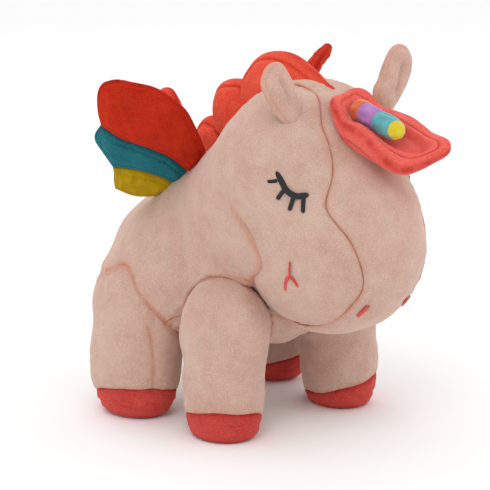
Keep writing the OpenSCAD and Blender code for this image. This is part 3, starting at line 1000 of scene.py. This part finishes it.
def curve(points):
    """A smooth open curve through points, cubic pieces, at shares 0..1 of its length in points."""
    q = np.array(points, float) * MM
    q = np.vstack([2 * q[0] - q[1], q, 2 * q[-1] - q[-2]])

    def at(t):
        s = np.clip(t, 0, 1) * (len(q) - 3)
        i = np.minimum(np.floor(s).astype(int), len(q) - 4)
        f = (s - i)[..., None]
        return cubic(q[i], q[i + 1], q[i + 2], q[i + 3], f)
    return at


EDGES = [
    curve([(0, 2), (-14, 24), (-22, 42), (-25, 60), (-22, 76), (-17, 88)]),
    curve([(19, 2), (16, 18), (18, 36), (20, 54), (20, 71)]),
    curve([(33, 2), (33, 12), (36, 26), (44, 42)]),
    curve([(36, 1), (46, 0), (52, 5), (58, 14), (60, 27)]),
]
TIPS = [
    curve([(-17, 88), (-10, 93), (0, 90), (11, 81), (20, 71)]),
    curve([(20, 71), (30, 68), (38, 56), (44, 42)]),
    curve([(44, 42), (49, 37), (55, 32), (60, 27)]),
]
WING_COLOURS = [("upper", ORANGE, "orange_plush"), ("middle", TEAL, "teal_plush"),
                ("lower", YELLOW, "yellow_plush")]
WING_L = 80 * MM


def wing_panel(name, k, s, rows=110, cols=64):
    """One colour of a wing: a grid between two edge curves, bulged on both faces and closed round."""
    r, a = np.linspace(0, 1, rows)[:, None], np.linspace(0, 1, cols)[None]
    lo, hi = EDGES[k](r + 0 * a), EDGES[k + 1](r + 0 * a)
    flat = lerp(lo, hi, a[..., None])
    last = np.ones((1, 1))
    end = TIPS[k](a + 0 * r) - lerp(EDGES[k](last), EDGES[k + 1](last), a[..., None])
    flat = flat + end * (r**3)[..., None]
    width = np.linalg.norm(hi - lo, axis=-1)
    dist = np.minimum(np.minimum(a, 1 - a) * width, (1 - r) * WING_L)
    dist = np.minimum(dist, r * WING_L + 3 * MM)
    rim = np.minimum(dist, 12 * MM)
    high = 3.4 * MM * np.sqrt(smooth(rim, 0, 8 * MM)) + 0.9 * MM
    high = high - 0.9 * MM * hump(rim, 4.2 * MM, 1.2 * MM)
    flat3 = np.stack([flat[..., 0], flat[..., 1], 0 * high], -1)
    high = high + 0.5 * MM * lumps(flat3, 8 * MM, 60 + k) * smooth(rim, 0.5 * MM, 3 * MM)
    p = np.stack([flat[..., 0], flat[..., 1], high], -1)
    q = np.stack([flat[..., 0], flat[..., 1], -high], -1)
    both = np.concatenate([p, q[:, ::-1]], 1)
    wave = 1.3 * MM * lumps(np.stack([both[..., 0], both[..., 1], 0 * both[..., 2]], -1), 30 * MM, 90)
    both[..., 2] += wave * smooth(both[..., 1], 0, 40 * MM)
    # Painted shade along the wing's seams, darker towards each stitch line.
    tone = np.concatenate([np.exp(-rim / (0.8 * MM)), np.exp(-rim / (0.8 * MM))[:, ::-1]], 1)
    faces = grid_faces(rows, 2 * cols, wrap_cols=True)
    caps = []
    for row in (0, rows - 1):
        i = np.arange(cols - 1)
        c = np.stack([row * 2 * cols + i, row * 2 * cols + i + 1, row * 2 * cols + 2 * cols - 2 - i,
                      row * 2 * cols + 2 * cols - 1 - i], 1)
        caps.append(c if row else c[:, ::-1])
    return build(name, wing_place(s)(both), np.vstack([faces] + caps), seam=tone * 0.8, flip=s < 0)


for side, s in SIDES.items():
    for k, (part, material, slot) in enumerate(WING_COLOURS):
        panel = wing_panel(f"wing_{side}_{part}_pad", k, s)
        finish_piece(panel, material, slot, f"wing_{side}", f"wing_{side}_{part}_panel")

# %% [markdown]
# ## Embroidery
# The closed eyes, the mouth and the nostrils are satin stitch: short threads side by side across the
# line. A flat decal would show the colour but not the raised glossy rows, so each thread is a small
# arched tube that goes into the plush at both ends.

# %% Satin stitch


def on_head(s, a, lift=0.0):
    """A point on the head by its turn from the nose to a cheek and its height angle, in degrees."""
    a = np.radians(np.array(a, float))
    turn, height = a[..., 0], a[..., 1]
    d = np.stack([s * np.sin(turn) * np.cos(height), -np.cos(turn) * np.cos(height), np.sin(height)], -1)
    return HEAD.at(d, lift), d


def satin(name, s, paths, widths, pitch=0.42 * MM, thick=0.55 * MM):
    """Rows of small arched threads across each path: each thread is a tube with six sides."""
    points, faces, base = [], [], 0
    for path, width in zip(paths, widths):
        c = curve(np.array(path) / MM)
        t = np.linspace(0, 1, 400)
        mid, d = on_head(s, c(t), 0.6 * MM)
        run = np.concatenate([[0], np.cumsum(np.linalg.norm(np.diff(mid, axis=0), axis=1))])
        n = max(3, int(run[-1] / pitch))
        t = np.interp(np.linspace(0, run[-1], n), run, t)
        mid, d = on_head(s, c(t), 0.6 * MM)
        along = unit(np.gradient(mid, axis=0))
        across = unit(np.cross(along, d))
        ends = np.sqrt(np.clip(1 - (np.abs(np.linspace(-1, 1, n)) ** 10), 0.05, 1))
        w = np.broadcast_to(width, n) * ends * MM / 2
        k, m = 9, 6
        u = np.linspace(-1, 1, k)
        arch = 0.75 * MM * (1 - np.abs(u) ** 2.5)
        centre = (mid[:, None] + across[:, None] * (w[:, None] * u)[..., None]
                  + d[:, None] * (arch - 0.9 * MM)[None, :, None])
        ring = np.linspace(0, 2 * np.pi, m, endpoint=False)
        tube = (centre[:, :, None] + along[:, None, None] * (np.cos(ring) * thick / 2)[None, None, :, None]
                + d[:, None, None] * (np.sin(ring) * thick / 2)[None, None, :, None])
        f = grid_faces(k, m, wrap_cols=True)
        points.append(tube.reshape(-1, 3))
        faces.append((f[None] + (base + np.arange(n) * k * m)[:, None, None]).reshape(-1, 4))
        base += n * k * m
    return build(name, np.concatenate(points), np.concatenate(faces))


LID = [(69, 23), (66, 18.5), (62.5, 13.5), (57, 10.8), (50, 12)]
LASHES = [[(68, 18.5), (73.5, 17.5)], [(64.5, 13.5), (68, 8.5)], [(58.5, 10.5), (61, 2.5)],
          [(53, 10.5), (53, 1.5)]]
MOUTH = [[(60.5, -26), (61, -30), (61.3, -33.5)], [(61.3, -33.5), (64, -37), (65.5, -42)],
         [(61.3, -33.5), (58.5, -35), (56, -37.5)]]
NOSTRIL = [[(19.5, -47), (18, -44), (16, -40.5)]]
for side, s in SIDES.items():
    eye = satin(f"eye_{side}_stitches", s, [LID] + LASHES, [3.6, 2.6, 2.6, 2.6, 2.6])
    finish_piece(eye, BLACK_THREAD, "black_thread", "head", f"eye_{side}")
    mouth = satin(f"mouth_{side}_stitches", s, MOUTH, [1.2, 2.1, 1.8])
    finish_piece(mouth, RED_THREAD, "red_thread", "head", f"mouth_{side}")
    nostril = satin(f"nostril_{side}_stitches", s, NOSTRIL, [3.4])
    finish_piece(nostril, RED_THREAD, "red_thread", "head", f"nostril_{side}")

# %% [markdown]
# ## Floor, lights and camera
# The toy stands on white paper under an even white sky. A soft box at the front left gives it form, a
# weaker one fills the far side, and one behind draws the rim. The camera is far off with a long lens,
# so that the near legs don't look bigger than the far ones.

# %% Stage


def plane(name, size, z):
    """A flat square in the floor's plane."""
    h = size / 2
    mesh = bpy.data.meshes.new(name)
    mesh.from_pydata([(-h, -h, z), (h, -h, z), (h, h, z), (-h, h, z)], [], [(0, 1, 2, 3)])
    return link(mesh, name)


floor = plane("floor", 12, 0)
paper = Finish("White paper")
floor.data.materials.append(paper.out(Base_Color=rgb(250, 250, 250), Roughness=0.9))

world = bpy.data.worlds.new("Studio")
bpy.context.scene.world = world
world.use_nodes = True
world.node_tree.nodes["Background"].inputs["Color"].default_value = (1, 1, 1, 1)
world.node_tree.nodes["Background"].inputs["Strength"].default_value = 1.0


def aim(obj, target):
    """Turns a light or camera so that its -Z looks at a target."""
    obj.rotation_euler = (Vector(target) - obj.location).to_track_quat("-Z", "Y").to_euler()


def soft_light(name, place, power, size):
    """A square soft box that looks at the toy."""
    light = bpy.data.lights.new(name, "AREA")
    light.energy, light.size = power, size
    box = bpy.data.objects.new(name, light)
    box.location = place
    bpy.context.scene.collection.objects.link(box)
    aim(box, (0, 0, 0.12))


soft_light("key", (-1.2, -0.9, 1.9), 9, 0.9)
soft_light("fill", (1.4, -1.2, 0.9), 2, 1.2)
soft_light("back", (0.3, 1.6, 1.6), 3, 1.0)

TARGET = np.array([-2.5, 28, 108]) * MM
AZIMUTH, ELEVATION = np.radians([-42.7, 12.5])
DISTANCE = 1.1
camera_data = bpy.data.cameras.new("camera")
camera = bpy.data.objects.new("camera", camera_data)
camera_data.lens = 126
camera.location = TARGET + DISTANCE * np.array([np.sin(AZIMUTH) * np.cos(ELEVATION),
                                                -np.cos(AZIMUTH) * np.cos(ELEVATION), np.sin(ELEVATION)])
bpy.context.scene.collection.objects.link(camera)
aim(camera, TARGET)
bpy.context.scene.camera = camera
bpy.context.scene.view_settings.view_transform = "Standard"
